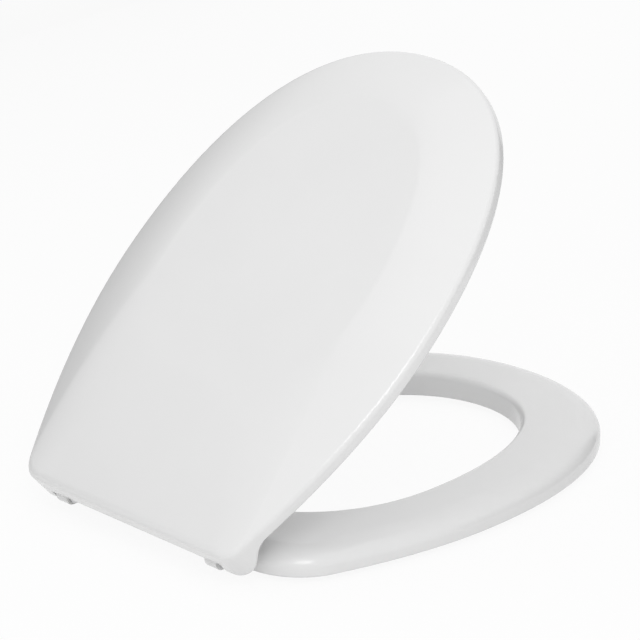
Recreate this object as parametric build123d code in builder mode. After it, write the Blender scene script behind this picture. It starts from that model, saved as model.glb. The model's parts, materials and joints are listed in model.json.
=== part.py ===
"""Toilet seat: an oval ring and a crowned lid that swing on two short hinge pins."""

import os
from math import atan2, cos, pi, sin, tan

from build123d import *

# Lengths are in millimetres. The origin is on the hinge axis, midway between the two pan fixings.
# +X is to one side, the seat's front points along -Y and +Z is up.

# Egg outline that the lid and the ring share
tip_reach = 443.0  # hinge axis to the lid's front tip
half_width = 165.0  # lid's, at the widest place
widest_reach = 204.4  # hinge axis to the widest place
back_half_width = 117.4  # of the straight back edge, before its corners are rounded
back_overhang = 4.8  # lid's back wall behind the hinge axis
flank_fullness = 0.547  # where the flank's end tangents cross, as a share of the widest reach
nose_fullness = 0.575  # tangent handle at the tip, as a share of the half width
shoulder_fullness = 0.675  # tangent handle at the widest place, as a share of the front's length
lid_corner_radius = 18.0  # lid's back corners, seen from above

# Lid, described closed
lid_open_angle = 41.9  # degrees that the lid stands open
rim_top = 23.7  # rim's upper edge above the hinge axis
rim_bottom = 11.0  # and its lower edge, round the front
skirt_bottom = -7.2  # lower edge of the deep back corners
skirt_deep_reach = 0.5  # the skirt is at its deepest from the back to here
skirt_shallow_reach = 29.0  # and has risen to the rim's lower edge here
lid_wall = 5.0  # skirt
lid_plate = 4.5  # top
rim_radius = 5.5  # outer top edge
rim_lip_radius = 4.0  # outer lower edge
lid_hollow_radius = 3.0  # inside, under the rim
block_reach = 8.0  # hinge axis to the front of the solid corner blocks

# Crown of the lid, which rises from the rim to a flat oval middle
crown_height = 18.0  # middle above the rim's upper edge
crown_breadth = 60.0  # rim to the middle, at the sides and the tip
crown_back_breadth = 122.0  # and from the back edge
crown_corner_radius = 82.0  # middle's back corners, seen from above
crown_roundness = 1.4  # 1 is a straight slope, more rounds it over

# Ring
ring_outset = 10.5  # outside the lid's outline
ring_bottom = -11.4
ring_thickness = 20.8
ring_wall = 5.0
ring_back_reach = 20.5  # hinge axis to the ring's straight back edge
ring_corner_radius = 56.0  # ring's back corners, seen from above
dome_breadth = 24.0  # rounded outer edge, seen from above
dome_drop = 13.5  # and seen from the side
ring_lip_radius = 6.0  # inner top edge
ring_foot_radius = 2.0  # lower edges

# Hole in the ring
ring_side_breadth = 58.1
ring_front_breadth = 65.5
ring_back_breadth = 45.0
hole_setback = 8.5  # hole's widest place, behind the outline's
hole_fullness = 0.603

# Hinge
hinge_height = 16.5  # hinge axis above the pan
fixing_spacing = 190.0  # between the two pan fixings
fixing_gap = 5.0  # free length of each pin, where the fixing goes
fixing_thread_radius = 1.65  # tapped hole through each pin
pin_radius = 2.75
pin_head_radius = 4.8
pin_head_length = 2.0
bush_wall = 0.8
bush_flange = 1.0
lug_radius = 7.0
lug_width = 12.0
lid_bush_length = 6.0
lug_root_length = 14.0  # of the lug's arm inside the ring

# Buffers
ring_pad_length = 38.0
ring_pad_width = 15.0
ring_pad_draft = 1.0  # the pad's foot is smaller than its top by this, all round
lid_pad_radius = 8.5
lid_pad_dome = 1.5
pad_margin = 2.5  # boss round a pad
pad_stem_radius = 3.0
ring_stem_length = 8.0
lid_stem_length = 5.0
lid_pad_height = 8.2
front_pad_place = 0.42  # along the front quarter of the ring's middle line
rear_pad_place = 0.48  # along its flank
lid_pad_place = 0.62

# Clearances
running_clearance = 0.05  # pin in its bushes
seat_clearance = 0.02  # bush in its bore, stem in its hole
side_clearance = 0.3  # between pieces that turn side by side
swing_clearance = 0.5  # lid's back lip over the ring's lugs
rest_clearance = 0.3  # lid's buffers over the ring when closed

flank_reach = flank_fullness * widest_reach
ring_top = ring_bottom + ring_thickness
ring_half_width = half_width + ring_outset
ring_tip_reach = tip_reach + ring_outset
hole_half_width = ring_half_width - ring_side_breadth
hole_tip_reach = ring_tip_reach - ring_front_breadth
hole_back_reach = ring_back_reach + ring_back_breadth
hole_widest_reach = widest_reach - hole_setback
lid_pad_top = ring_top + rest_clearance + lid_pad_height
pan = -hinge_height
gap_inner = (fixing_spacing - fixing_gap) / 2
gap_outer = (fixing_spacing + fixing_gap) / 2
lug_inner = gap_inner - lug_width
bush_bore = pin_radius + running_clearance
bush_radius = bush_bore + bush_wall
bush_seat = bush_radius + seat_clearance
stem_seat = pad_stem_radius + seat_clearance
beyond = 2 * half_width  # cuts that run right past the part


def egg(height, inset, back_y, corner_radius):
    """The shared egg outline, drawn in by inset and cut straight across at back_y."""
    width = half_width - inset
    tip_y = -(tip_reach - inset)
    shoulder_y = -widest_reach - shoulder_fullness * (-tip_y - widest_reach)
    back_width = back_half_width - inset
    with BuildSketch(Plane.XY.offset(height)) as outline:
        with BuildLine():
            Bezier((0, tip_y), (nose_fullness * width, tip_y), (width, shoulder_y), (width, -widest_reach))
            Bezier((width, -widest_reach), (width, -flank_reach), (back_width, back_overhang))
            mirror(about=Plane.YZ)
            Line((back_width, back_overhang), (-back_width, back_overhang))
        make_face()
        with Locations((0, back_y)):
            Rectangle(beyond * 2, beyond, align=(Align.CENTER, Align.MIN), mode=Mode.SUBTRACT)
        fillet(outline.vertices().group_by(Axis.Y)[-1], corner_radius)
    return outline.sketch


def ring_outline(height, inset):
    """The ring's own outline, drawn in by inset."""
    return egg(height, inset - ring_outset, -ring_back_reach - inset, ring_corner_radius - inset)


def hole(height, outset):
    """The ring's hole, an oval of four quarters, made larger by outset."""
    width = hole_half_width + outset
    with BuildSketch(Plane.XY.offset(height)) as outline:
        with BuildLine():
            for end in (hole_tip_reach + outset, hole_back_reach - outset):
                handle_y = -hole_widest_reach - hole_fullness * (end - hole_widest_reach)
                widest = (width, -hole_widest_reach)
                Bezier((0, -end), (hole_fullness * width, -end), (width, handle_y), widest)
            mirror(about=Plane.YZ)
        make_face()
    return outline.sketch


def lid_outline(height, shrink, inset):
    """A level section of the lid, drawn in by shrink, at inset from its rim."""
    share = inset / (crown_breadth - shrink)
    back_inset = shrink + (crown_back_breadth - shrink) * share
    corner_radius = (lid_corner_radius - shrink) * (1 - share) + crown_corner_radius * share
    return egg(height, shrink + inset, back_overhang - back_inset, corner_radius)


def lid_form(shrink, drop, base, shoulder_radius):
    """The lid's outer form, drawn in by shrink and lowered by drop: skirt from base, shoulder and crown."""
    breadth = crown_breadth - shrink
    turn = atan2(breadth, crown_height * crown_roundness)
    wall_top = rim_top - drop - shoulder_radius * tan(turn / 2)
    shoulder_steps = 4
    shoulder = []
    for step in range(shoulder_steps + 1):
        angle = turn * step / shoulder_steps
        inset = shoulder_radius * (1 - cos(angle))
        height = wall_top + shoulder_radius * sin(angle)
        shoulder.append(lid_outline(height, shrink, inset))
    crown_steps = 6
    crown = []
    start_left = 1 - inset / breadth
    for step in range(crown_steps + 1):
        left = start_left * (1 - step / crown_steps)
        rise = crown_height * (start_left ** crown_roundness - left ** crown_roundness)
        crown.append(lid_outline(height + rise, shrink, breadth * (1 - left)))
    with BuildPart() as form:
        with BuildSketch(Plane.XY.offset(base)):
            add(lid_outline(0, shrink, 0))
        extrude(amount=wall_top - base)
        loft(shoulder)
        loft(crown)
    return form.part


def dome(shrink):
    """The ring's outer form without its hole, drawn in by shrink: an upright side that rounds over."""
    steps = 6
    sections = []
    for step in range(steps + 1):
        angle = pi / 2 * step / steps
        inset = shrink + (dome_breadth - shrink) * (1 - cos(angle))
        height = ring_top - shrink - (dome_drop - shrink) * (1 - sin(angle))
        sections.append(ring_outline(height, inset))
    with BuildPart() as form:
        with BuildSketch(Plane.XY.offset(ring_bottom)):
            add(ring_outline(0, shrink))
        extrude(amount=ring_thickness - dome_drop)
        loft(sections)
    return form.part


def middle_line(outer_points, hole_points):
    """A curve midway between the ring's outline and its hole."""
    points = [((a[0] + b[0]) / 2, (a[1] + b[1]) / 2) for a, b in zip(outer_points, hole_points)]
    return Bezier(*points, mode=Mode.PRIVATE)


# Middle line of the ring, in a front quarter and a flank
hole_handle = hole_fullness * (hole_tip_reach - hole_widest_reach)
front_line = middle_line(
    [
        (0, -ring_tip_reach),
        (nose_fullness * ring_half_width, -ring_tip_reach),
        (ring_half_width, -widest_reach - shoulder_fullness * (ring_tip_reach - widest_reach)),
        (ring_half_width, -widest_reach),
    ],
    [
        (0, -hole_tip_reach),
        (hole_fullness * hole_half_width, -hole_tip_reach),
        (hole_half_width, -hole_widest_reach - hole_handle),
        (hole_half_width, -hole_widest_reach),
    ],
)
flank_line = middle_line(
    [(ring_half_width, -widest_reach), (ring_half_width, -flank_reach), (back_half_width, -ring_back_reach)],
    [(hole_half_width, -hole_widest_reach), (hole_half_width, -hole_back_reach), (0, -hole_back_reach)],
)


def pad_place(line, share, side):
    """Place and heading of a buffer on the ring's middle line, on the side +1 or -1."""
    point = line @ share
    heading = line % share
    turn = Vector(side * heading.X, heading.Y).get_signed_angle(Vector(1, 0, 0), Vector(0, 0, -1))
    return (side * point.X, point.Y), turn


# Seat ring
with BuildPart() as ring_hollow:
    add(dome(ring_wall))
    with BuildSketch(Plane.XY.offset(ring_bottom)):
        add(hole(0, ring_wall))
    extrude(amount=ring_thickness, mode=Mode.SUBTRACT)

pad_places = {
    "front_right": pad_place(front_line, front_pad_place, 1),
    "front_left": pad_place(front_line, front_pad_place, -1),
    "rear_right": pad_place(flank_line, rear_pad_place, 1),
    "rear_left": pad_place(flank_line, rear_pad_place, -1),
}

with BuildPart() as seat_ring:
    add(dome(0))
    with BuildSketch(Plane.XY.offset(ring_bottom)):
        add(hole(0, 0))
    extrude(amount=ring_thickness, mode=Mode.SUBTRACT)
    crown = seat_ring.faces().sort_by(Axis.Z)[-1]
    fillet(crown.inner_wires()[0].edges(), ring_lip_radius)
    foot = seat_ring.faces().sort_by(Axis.Z)[0]
    fillet(foot.edges(), ring_foot_radius)
    add(ring_hollow.part, mode=Mode.SUBTRACT)
    # Bosses in the hollow that the buffers plug into
    for place, turn in pad_places.values():
        with BuildSketch(Plane.XY.offset(ring_bottom)):
            with Locations(Location(place, turn)):
                SlotOverall(ring_pad_length + 2 * pad_margin, ring_pad_width + 2 * pad_margin)
        extrude(amount=ring_thickness - ring_wall)
    for place, turn in pad_places.values():
        with BuildSketch(Plane.XY.offset(ring_bottom)):
            with Locations(place):
                Circle(stem_seat)
        extrude(amount=ring_stem_length + side_clearance, mode=Mode.SUBTRACT)
    # Hinge lugs: a round eye on the axis with an arm that runs into the ring
    for side in (1, -1):
        with BuildSketch(Plane.YZ.offset(side * lug_inner)):
            Circle(lug_radius)
            Rectangle(ring_back_reach + lug_root_length, 2 * lug_radius, align=(Align.MAX, Align.CENTER))
        extrude(amount=side * lug_width)
        with BuildSketch(Plane.YZ.offset(side * lug_inner)):
            Circle(bush_seat)
        extrude(amount=side * lug_width, mode=Mode.SUBTRACT)

# Lid, modelled closed and then swung open
with BuildPart() as lid_hollow:
    add(lid_form(lid_wall, lid_plate, skirt_bottom - lid_wall, lid_hollow_radius))
    # Solid blocks in the back corners, round the hinge pins
    for side in (1, -1):
        with BuildSketch(Plane.YZ.offset(side * gap_outer)):
            with Locations((-block_reach, 0)):
                Rectangle(beyond, beyond, align=(Align.MIN, Align.CENTER))
        extrude(amount=side * beyond, mode=Mode.SUBTRACT)
    # Bosses for the lid's buffers
    for side in (1, -1):
        place, turn = pad_place(front_line, lid_pad_place, side)
        with BuildSketch(Plane.XY.offset(lid_pad_top)):
            with Locations(place):
                Circle(lid_pad_radius + pad_margin)
        extrude(amount=beyond, mode=Mode.SUBTRACT)

with BuildPart() as lid_closed:
    add(lid_form(0, 0, skirt_bottom, rim_radius))
    # The skirt's lower edge, seen from the side: deep at the back corners, rising to the rim
    with BuildSketch(Plane.YZ):
        with BuildLine():
            middle_y = -(skirt_deep_reach + skirt_shallow_reach) / 2
            Bezier(
                (-skirt_deep_reach, skirt_bottom),
                (middle_y, skirt_bottom),
                (middle_y, rim_bottom),
                (-skirt_shallow_reach, rim_bottom),
            )
            Polyline(
                (-skirt_shallow_reach, rim_bottom),
                (-tip_reach - lid_wall, rim_bottom),
                (-tip_reach - lid_wall, skirt_bottom),
                (-skirt_deep_reach, skirt_bottom),
            )
        make_face()
    extrude(amount=beyond, both=True, mode=Mode.SUBTRACT)
    corner_edges = lid_closed.edges().group_by(Axis.Z)[0].filter_by(Axis.X, reverse=True)
    fillet(corner_edges, rim_lip_radius)  # runs on round the whole lower edge, which is smooth
    add(lid_hollow.part, mode=Mode.SUBTRACT)
    # Room for the ring's lugs under the back lip
    with BuildSketch(Plane.YZ):
        Circle(lug_radius + swing_clearance)
        Rectangle(2 * (lug_radius + swing_clearance), beyond, align=(Align.CENTER, Align.MAX))
    extrude(amount=gap_outer, both=True, mode=Mode.SUBTRACT)
    # Blind bores for the bushes
    for side in (1, -1):
        with BuildSketch(Plane.YZ.offset(side * gap_outer)):
            Circle(bush_seat)
        extrude(amount=side * (lid_bush_length + side_clearance), mode=Mode.SUBTRACT)
    # Holes that the lid's buffers plug into
    for side in (1, -1):
        place, turn = pad_place(front_line, lid_pad_place, side)
        with BuildSketch(Plane.XY.offset(lid_pad_top)):
            with Locations(place):
                Circle(stem_seat)
        extrude(amount=lid_stem_length + side_clearance, mode=Mode.SUBTRACT)

swing = (-lid_open_angle, 0, 0)
with BuildPart() as lid:
    add(lid_closed.part, rotation=swing)

os.makedirs("parts", exist_ok=True)
seat_ring.part.label = "seat_ring"
export_step(seat_ring.part, "parts/seat_ring.step")
lid.part.label = "lid"
export_step(lid.part, "parts/lid.step")

for name, side in (("right", 1), ("left", -1)):
    # Hinge pin: a headed pin through the ring's lug and across the gap into the lid's corner
    with BuildPart() as hinge_pin:
        with BuildSketch(Plane.YZ.offset(side * (lug_inner - bush_flange - side_clearance))):
            Circle(pin_radius)
        extrude(amount=side * (gap_outer + lid_bush_length - lug_inner + bush_flange))
        with BuildSketch(Plane.YZ.offset(side * (lug_inner - bush_flange - side_clearance))):
            Circle(pin_head_radius)
        extrude(amount=-side * pin_head_length)
        with BuildSketch(Plane.XY.offset(-pin_radius)):
            with Locations((side * fixing_spacing / 2, 0)):
                Circle(fixing_thread_radius)
        extrude(amount=2 * pin_radius, mode=Mode.SUBTRACT)
    hinge_pin.part.label = f"hinge_pin_{name}"
    export_step(hinge_pin.part, f"parts/hinge_pin_{name}.step")

    # Flanged bush in the ring's lug
    with BuildPart() as ring_bush:
        with BuildSketch(Plane.YZ.offset(side * lug_inner)):
            Circle(bush_radius)
        extrude(amount=side * lug_width)
        with BuildSketch(Plane.YZ.offset(side * lug_inner)):
            Circle(lug_radius - bush_wall / 2)
        extrude(amount=-side * bush_flange)
        with BuildSketch(Plane.YZ.offset(side * (lug_inner - bush_flange))):
            Circle(bush_bore)
        extrude(amount=side * (lug_width + bush_flange), mode=Mode.SUBTRACT)
    ring_bush.part.label = f"ring_bush_{name}"
    export_step(ring_bush.part, f"parts/ring_bush_{name}.step")

    # Plain bush in the lid's corner
    with BuildPart() as lid_bush_closed:
        with BuildSketch(Plane.YZ.offset(side * gap_outer)):
            Circle(bush_radius)
            Circle(bush_bore, mode=Mode.SUBTRACT)
        extrude(amount=side * lid_bush_length)
    with BuildPart() as lid_bush:
        add(lid_bush_closed.part, rotation=swing)
    lid_bush.part.label = f"lid_bush_{name}"
    export_step(lid_bush.part, f"parts/lid_bush_{name}.step")

    # Round buffer under the lid
    place, turn = pad_place(front_line, lid_pad_place, side)
    with BuildPart() as lid_buffer_closed:
        with BuildSketch(Plane.XY.offset(lid_pad_top)):
            with Locations(place):
                Circle(lid_pad_radius)
        extrude(amount=-lid_pad_height)
        fillet(lid_buffer_closed.faces().sort_by(Axis.Z)[0].edges(), lid_pad_dome)
        with BuildSketch(Plane.XY.offset(lid_pad_top)):
            with Locations(place):
                Circle(pad_stem_radius)
        extrude(amount=lid_stem_length)
    with BuildPart() as lid_buffer:
        add(lid_buffer_closed.part, rotation=swing)
    lid_buffer.part.label = f"lid_buffer_{name}"
    export_step(lid_buffer.part, f"parts/lid_buffer_{name}.step")

# Long buffers under the ring
for name, (place, turn) in pad_places.items():
    with BuildPart() as ring_buffer:
        with BuildSketch(Plane.XY.offset(ring_bottom)):
            with Locations(Location(place, turn)):
                SlotOverall(ring_pad_length, ring_pad_width)
        with BuildSketch(Plane.XY.offset(pan)):
            with Locations(Location(place, turn)):
                SlotOverall(ring_pad_length - 2 * ring_pad_draft, ring_pad_width - 2 * ring_pad_draft)
        loft()
        with BuildSketch(Plane.XY.offset(ring_bottom)):
            with Locations(place):
                Circle(pad_stem_radius)
        extrude(amount=ring_stem_length)
    ring_buffer.part.label = f"ring_buffer_{name}"
    export_step(ring_buffer.part, f"parts/ring_buffer_{name}.step")
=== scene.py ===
"""Toilet seat with its lid part open: finish, floor, light and camera."""

import json
from math import cos, radians, sin

import bpy
from mathutils import Matrix, Vector


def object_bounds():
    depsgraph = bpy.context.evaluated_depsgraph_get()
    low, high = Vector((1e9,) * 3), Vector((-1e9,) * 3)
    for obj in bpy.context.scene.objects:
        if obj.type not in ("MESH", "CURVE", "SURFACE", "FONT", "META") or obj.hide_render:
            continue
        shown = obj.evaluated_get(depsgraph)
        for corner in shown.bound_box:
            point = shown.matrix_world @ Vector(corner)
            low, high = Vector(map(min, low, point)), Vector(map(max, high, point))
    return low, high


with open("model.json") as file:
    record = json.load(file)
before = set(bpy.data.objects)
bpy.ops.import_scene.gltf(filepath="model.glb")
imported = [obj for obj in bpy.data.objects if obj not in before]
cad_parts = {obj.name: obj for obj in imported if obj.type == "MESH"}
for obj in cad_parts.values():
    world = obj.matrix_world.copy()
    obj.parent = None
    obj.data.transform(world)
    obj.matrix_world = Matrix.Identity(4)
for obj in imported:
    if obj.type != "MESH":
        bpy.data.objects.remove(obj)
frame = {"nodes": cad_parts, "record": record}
cad_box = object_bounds()

# Lengths are in metres, in the part's own frame.

# Camera, from the photograph's outlines
camera_azimuth = radians(225.647)
camera_elevation = radians(20.545)
camera_distance = 2.7855
camera_aim = Vector((0.0005, -0.1937, 0.1187))
camera_reach = 50.0
focal_length_px = 3497.4
frame_px = 640.0
sensor_mm = 36.0

# Lamps and sky
sky_strength = 0.72
lamp_distance = 2.4
lamp_aim = Vector((0.0, -0.2, 0.1))
lamps = {  # direction from the seat, size, power in watts
    "overhead": ((0.0, 0.0, 1.0), 2.6, 6.5),
    "key": ((-0.58, 0.46, 0.67), 0.9, 11.0),
}

# Floor, level with the feet of the ring's buffers
floor_height = cad_box[0][2]
floor_reach = 6.0
floor_grey = 0.9
floor_roughness = 0.9
floor_whiteness = 0.92  # share that shows as plain white, where the rest shows the light received

# Flags, cards of dark gauze that shade the seat's edges
flag_height = 1.0
flag_fade = (0.2, 0.9)  # shares of the height between which a flag thins out to nothing
flag_grey = 0.02
flag_roughness = 1.0
flags = {  # place on the floor, width
    "far_flag": ((1.1, -0.1), 2.2),
    "front_flag": ((-0.55, -1.25), 1.6),
}

# Shading
smooth_angle = radians(32)
weld_gap = 0.000002
large_face_weight = 80  # over 50, the larger faces count for more in the normals
noise_middle = (0.3, 0.7)  # the range that most of a noise's values lie in
plastic_ior = 1.5


def new_material(name):
    """A node material: itself, its tree and its principled shader."""
    material = bpy.data.materials.new(name)
    material.use_nodes = True
    tree = material.node_tree
    return material, tree, tree.nodes["Principled BSDF"]


def noise(tree, scale, detail, stretch=(1.0, 1.0, 1.0)):
    """Noise in the piece's own coordinates. Returns its value socket."""
    place = tree.nodes.new("ShaderNodeTexCoord")
    mapping = tree.nodes.new("ShaderNodeMapping")
    mapping.inputs["Scale"].default_value = stretch
    texture = tree.nodes.new("ShaderNodeTexNoise")
    texture.inputs["Scale"].default_value = scale
    texture.inputs["Detail"].default_value = detail
    tree.links.new(place.outputs["Object"], mapping.inputs["Vector"])
    tree.links.new(mapping.outputs["Vector"], texture.inputs["Vector"])
    return texture.outputs["Fac"]


def spread(tree, value, low, high):
    """The middle of a noise's range spread from low to high."""
    node = tree.nodes.new("ShaderNodeMapRange")
    node.inputs["From Min"].default_value = noise_middle[0]
    node.inputs["From Max"].default_value = noise_middle[1]
    node.inputs["To Min"].default_value = low
    node.inputs["To Max"].default_value = high
    tree.links.new(value, node.inputs["Value"])
    return node.outputs["Result"]


def tint(tree, value, low, high):
    """A colour between low and high, over the middle of a noise's range."""
    ramp = tree.nodes.new("ShaderNodeValToRGB")
    for stop, position, colour in zip(ramp.color_ramp.elements, noise_middle, (low, high)):
        stop.position = position
        stop.color = (*colour, 1.0)
    tree.links.new(value, ramp.inputs["Fac"])
    return ramp.outputs["Color"]


def bump(tree, value, height, under=None):
    """A bump of that height, over another bump's normal if one is given."""
    node = tree.nodes.new("ShaderNodeBump")
    node.inputs["Strength"].default_value = 1.0
    node.inputs["Distance"].default_value = height
    tree.links.new(value, node.inputs["Height"])
    if under:
        tree.links.new(under, node.inputs["Normal"])
    return node.outputs["Normal"]


def link_look(tree, shader, colour, roughness, normal):
    """Links what varies over a piece to its shader."""
    tree.links.new(colour, shader.inputs["Base Color"])
    tree.links.new(roughness, shader.inputs["Roughness"])
    tree.links.new(normal, shader.inputs["Normal"])


def moulding_material():
    """Glossy white moulded plastic: faint waviness, fine orange peel and slightly uneven gloss."""
    material, tree, shader = new_material("gloss_moulding")
    clouds = noise(tree, scale=9.0, detail=3.0)
    colour = tint(tree, clouds, low=(0.845, 0.845, 0.845), high=(0.862, 0.862, 0.862))
    roughness = spread(tree, noise(tree, scale=60.0, detail=4.0), low=0.14, high=0.2)
    waves = bump(tree, noise(tree, scale=28.0, detail=1.0), height=0.00006)
    peel = bump(tree, noise(tree, scale=700.0, detail=1.0), height=0.000004, under=waves)
    link_look(tree, shader, colour, roughness, peel)
    shader.inputs["IOR"].default_value = plastic_ior
    return material


def steel_material():
    """Turned stainless steel: fine rings round the pin's own axis."""
    material, tree, shader = new_material("turned_steel")
    rings = noise(tree, scale=40.0, detail=2.0, stretch=(160.0, 1.0, 1.0))
    colour = tint(tree, rings, low=(0.55, 0.55, 0.56), high=(0.66, 0.66, 0.67))
    roughness = spread(tree, rings, low=0.22, high=0.38)
    link_look(tree, shader, colour, roughness, bump(tree, rings, height=0.00001))
    shader.inputs["Metallic"].default_value = 1.0
    return material


def bush_material():
    """Natural white bearing plastic: waxy, with a fine grain."""
    material, tree, shader = new_material("bearing_plastic")
    grain = noise(tree, scale=900.0, detail=3.0)
    colour = tint(tree, grain, low=(0.77, 0.77, 0.755), high=(0.81, 0.81, 0.80))
    roughness = spread(tree, grain, low=0.42, high=0.58)
    link_look(tree, shader, colour, roughness, bump(tree, grain, height=0.00001))
    return material


def buffer_material():
    """Soft matt white rubber: fine pits and a little dust on it."""
    material, tree, shader = new_material("matt_rubber")
    pits = noise(tree, scale=1400.0, detail=2.0)
    dust = noise(tree, scale=120.0, detail=4.0)
    colour = tint(tree, dust, low=(0.74, 0.74, 0.725), high=(0.79, 0.79, 0.78))
    roughness = spread(tree, pits, low=0.6, high=0.8)
    link_look(tree, shader, colour, roughness, bump(tree, pits, height=0.00003))
    return material


def seen_directly(tree):
    """1 for rays from the camera, off gloss or through glass, and 0 for the light on the object."""
    path = tree.nodes.new("ShaderNodeLightPath")
    seen = path.outputs["Is Camera Ray"]
    for other in ("Is Glossy Ray", "Is Transmission Ray"):
        either = tree.nodes.new("ShaderNodeMath")
        either.operation = "MAXIMUM"
        tree.links.new(seen, either.inputs[0])
        tree.links.new(path.outputs[other], either.inputs[1])
        seen = either.outputs["Value"]
    return seen


def make_matt(shader, grey, roughness):
    """One even grey without gloss."""
    shader.inputs["Base Color"].default_value = (grey, grey, grey, 1.0)
    shader.inputs["Roughness"].default_value = roughness
    shader.inputs["Specular IOR Level"].default_value = 0.0


def show_mixed(tree, share, first, second):
    """The material's surface: first at a share of 0, second at a share of 1."""
    mix = tree.nodes.new("ShaderNodeMixShader")
    tree.links.new(share, mix.inputs["Fac"])
    tree.links.new(first, mix.inputs[1])
    tree.links.new(second, mix.inputs[2])
    tree.links.new(mix.outputs["Shader"], tree.nodes["Material Output"].inputs["Surface"])


def paper_material():
    """Matt paper that takes the seat's shadow and shows mostly as plain white."""
    material, tree, shader = new_material("white_paper")
    make_matt(shader, floor_grey, floor_roughness)
    plain_white = tree.nodes.new("ShaderNodeEmission")
    plain_white.inputs["Strength"].default_value = 1.0
    share = tree.nodes.new("ShaderNodeMath")
    share.operation = "MULTIPLY"
    share.inputs[1].default_value = floor_whiteness
    tree.links.new(seen_directly(tree), share.inputs[0])
    show_mixed(tree, share.outputs["Value"], shader.outputs["BSDF"], plain_white.outputs["Emission"])
    return material


def gauze_material():
    """Black gauze that thins out to nothing towards its upper edge."""
    material, tree, shader = new_material("black_gauze")
    make_matt(shader, flag_grey, flag_roughness)
    place = tree.nodes.new("ShaderNodeTexCoord")
    axes = tree.nodes.new("ShaderNodeSeparateXYZ")
    tree.links.new(place.outputs["Generated"], axes.inputs["Vector"])
    thickness = tree.nodes.new("ShaderNodeMapRange")
    thickness.interpolation_type = "SMOOTHSTEP"
    thickness.inputs["From Min"].default_value = flag_fade[0]
    thickness.inputs["From Max"].default_value = flag_fade[1]
    thickness.inputs["To Min"].default_value = 1.0
    thickness.inputs["To Max"].default_value = 0.0
    tree.links.new(axes.outputs["Z"], thickness.inputs["Value"])
    clear = tree.nodes.new("ShaderNodeBsdfTransparent")
    show_mixed(tree, thickness.outputs["Result"], clear.outputs["BSDF"], shader.outputs["BSDF"])
    return material


def smooth(node):
    """Smooth shading up to the sharp edges, by modifiers alone."""
    for face in node.data.polygons:
        face.use_smooth = True
    weld = node.modifiers.new("weld", "WELD")
    weld.merge_threshold = weld_gap
    split = node.modifiers.new("split", "EDGE_SPLIT")
    split.split_angle = smooth_angle
    split.use_edge_sharp = False
    even = node.modifiers.new("even_normals", "WEIGHTED_NORMAL")
    even.weight = large_face_weight
    even.keep_sharp = True


def flat_sheet(name, corners, material):
    """A face with four corners, linked to the scene."""
    mesh = bpy.data.meshes.new(name)
    mesh.from_pydata(corners, [], [(0, 1, 2, 3)])
    mesh.materials.append(material)
    sheet = bpy.data.objects.new(name, mesh)
    bpy.context.collection.objects.link(sheet)
    return sheet


# Finish of the nodes, by the record's material slots
finishes = {
    "moulding": moulding_material(),
    "pin_steel": steel_material(),
    "bush": bush_material(),
    "buffer": buffer_material(),
}
for part in frame["record"]["subparts"]:
    node = frame["nodes"][part["node"]]
    node.data.materials.clear()
    node.data.materials.append(finishes[part["material_slot"]])
    smooth(node)

# Floor
corner_signs = ((-1, -1), (1, -1), (1, 1), (-1, 1))
floor_corners = [(x * floor_reach, y * floor_reach, floor_height) for x, y in corner_signs]
floor = flat_sheet("floor", floor_corners, paper_material())

# Sky: even light, which shows as plain white
world = bpy.data.worlds.new("studio")
world.use_nodes = True
bpy.context.scene.world = world
sky_tree = world.node_tree
sky = sky_tree.nodes["Background"]
sky.inputs["Color"].default_value = (1.0, 1.0, 1.0, 1.0)
sky_level = sky_tree.nodes.new("ShaderNodeMapRange")
sky_level.inputs["To Min"].default_value = sky_strength
sky_level.inputs["To Max"].default_value = 1.0
sky_tree.links.new(seen_directly(sky_tree), sky_level.inputs["Value"])
sky_tree.links.new(sky_level.outputs["Result"], sky.inputs["Strength"])

# Flags, turned to the seat and not seen by the camera
gauze = gauze_material()
rise = Vector((0.0, 0.0, flag_height))
for name, (place, width) in flags.items():
    foot = Vector((*place, floor_height))
    inward = Vector((lamp_aim.x - foot.x, lamp_aim.y - foot.y, 0.0)).normalized()
    half_side = Vector((-inward.y, inward.x, 0.0)) * width / 2
    left = foot - half_side
    right = foot + half_side
    card = flat_sheet(name, [left, right, right + rise, left + rise], gauze)
    card.visible_camera = False

# Softboxes
for name, (direction, size, power) in lamps.items():
    lamp = bpy.data.lights.new(name, "AREA")
    lamp.shape = "SQUARE"
    lamp.size = size
    lamp.energy = power
    softbox = bpy.data.objects.new(name, lamp)
    bpy.context.collection.objects.link(softbox)
    towards = Vector(direction).normalized()
    softbox.location = lamp_aim + towards * lamp_distance
    softbox.rotation_euler = towards.to_track_quat("Z", "Y").to_euler()

# Camera
camera_data = bpy.data.cameras.new("photo_camera")
camera_data.sensor_width = sensor_mm
camera_data.lens = focal_length_px * sensor_mm / frame_px
camera_data.clip_end = camera_reach
camera = bpy.data.objects.new("photo_camera", camera_data)
bpy.context.collection.objects.link(camera)
look_back = Vector((
    sin(camera_azimuth) * cos(camera_elevation),
    -cos(camera_azimuth) * cos(camera_elevation),
    sin(camera_elevation),
))
look_right = Vector((cos(camera_azimuth), sin(camera_azimuth), 0.0))
look_up = look_back.cross(look_right)
turn = Matrix((look_right, look_up, look_back)).transposed().to_4x4()
camera.matrix_world = Matrix.Translation(camera_aim + look_back * camera_distance) @ turn
bpy.context.scene.camera = camera
bpy.context.scene.view_settings.view_transform = "Standard"
